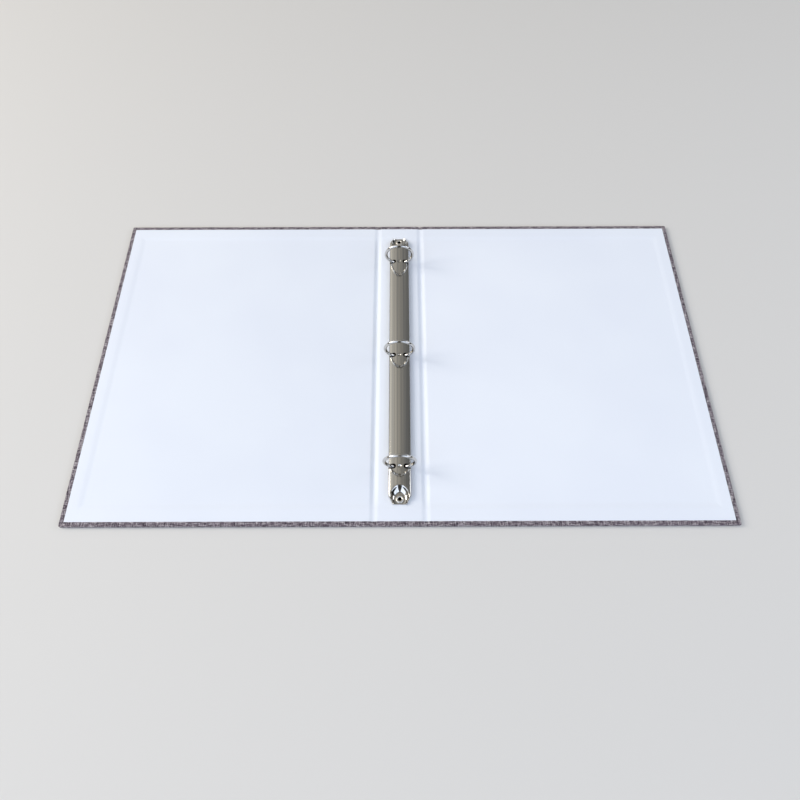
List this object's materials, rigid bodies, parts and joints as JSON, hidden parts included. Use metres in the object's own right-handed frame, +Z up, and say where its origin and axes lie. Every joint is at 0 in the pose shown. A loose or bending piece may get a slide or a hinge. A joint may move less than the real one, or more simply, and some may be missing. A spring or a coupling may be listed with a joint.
{
  "type": "ring binder",
  "caption": "Cloth-covered ring binder lying open and flat, with a sprung ring mechanism riveted to its spine; the covers fold up and the rings part in the middle.",
  "frame": {"origin": "middle of the footprint of the opened binder, on the surface that it lies on", "axes": "+X from the front cover across the spine to the back cover, +Y from the foot of the page to its head along the spine, +Z up out of the inside faces, through the rings"},
  "size_m": [0.5522, 0.315, 0.0327],
  "materials": {
    "book_cloth": "matte",
    "lining_paper": "matte",
    "greyboard": "matte",
    "nickel_plated_steel": "satin",
    "nickel_plated_wire": "polished",
    "nickel_plated_rivet": "satin",
    "zinc_plated_steel": "satin"
  },
  "bodies": {
    "spine": {"spine_board": "greyboard", "spine_cloth": "book_cloth", "spine_liner": "lining_paper", "front_hinge_cloth": "book_cloth", "back_hinge_cloth": "book_cloth", "front_hinge_liner": "lining_paper", "back_hinge_liner": "lining_paper", "mechanism_cover": "nickel_plated_steel", "rivet_top": "nickel_plated_rivet", "rivet_bottom": "nickel_plated_rivet"},
    "front_cover": {"front_board": "greyboard", "front_cover_cloth": "book_cloth", "front_liner": "lining_paper"},
    "back_cover": {"back_board": "greyboard", "back_cover_cloth": "book_cloth", "back_liner": "lining_paper"},
    "front_ring_set": {"front_hinge_plate": "zinc_plated_steel", "front_half_ring_top": "nickel_plated_wire", "front_half_ring_middle": "nickel_plated_wire", "front_half_ring_bottom": "nickel_plated_wire"},
    "back_ring_set": {"back_hinge_plate": "zinc_plated_steel", "back_half_ring_top": "nickel_plated_wire", "back_half_ring_middle": "nickel_plated_wire", "back_half_ring_bottom": "nickel_plated_wire"}
  },
  "joints": [
    {"name": "front_cover_fold", "type": "hinge", "parent": "spine", "child": "front_cover", "pos_m": [-0.0215, 0, 0.0004], "axis": [0, 1, 0], "range_deg": [0, 90], "deforming": ["front_hinge_cloth", "front_hinge_liner"]},
    {"name": "back_cover_fold", "type": "hinge", "parent": "spine", "child": "back_cover", "pos_m": [0.0215, 0, 0.0004], "axis": [0, -1, 0], "range_deg": [0, 90], "deforming": ["back_hinge_cloth", "back_hinge_liner"]},
    {"name": "front_rings_open", "type": "hinge", "parent": "spine", "child": "front_ring_set", "pos_m": [-0.0082, 0, 0.00505], "axis": [0, -1, 0], "range_deg": [0, 15]},
    {"name": "back_rings_open", "type": "hinge", "parent": "spine", "child": "back_ring_set", "pos_m": [0.0082, 0, 0.00505], "axis": [0, 1, 0], "range_deg": [0, 15]}
  ],
  "couplings": [
    {"joint": "back_rings_open", "follows": "front_rings_open", "ratio": 1}
  ]
}
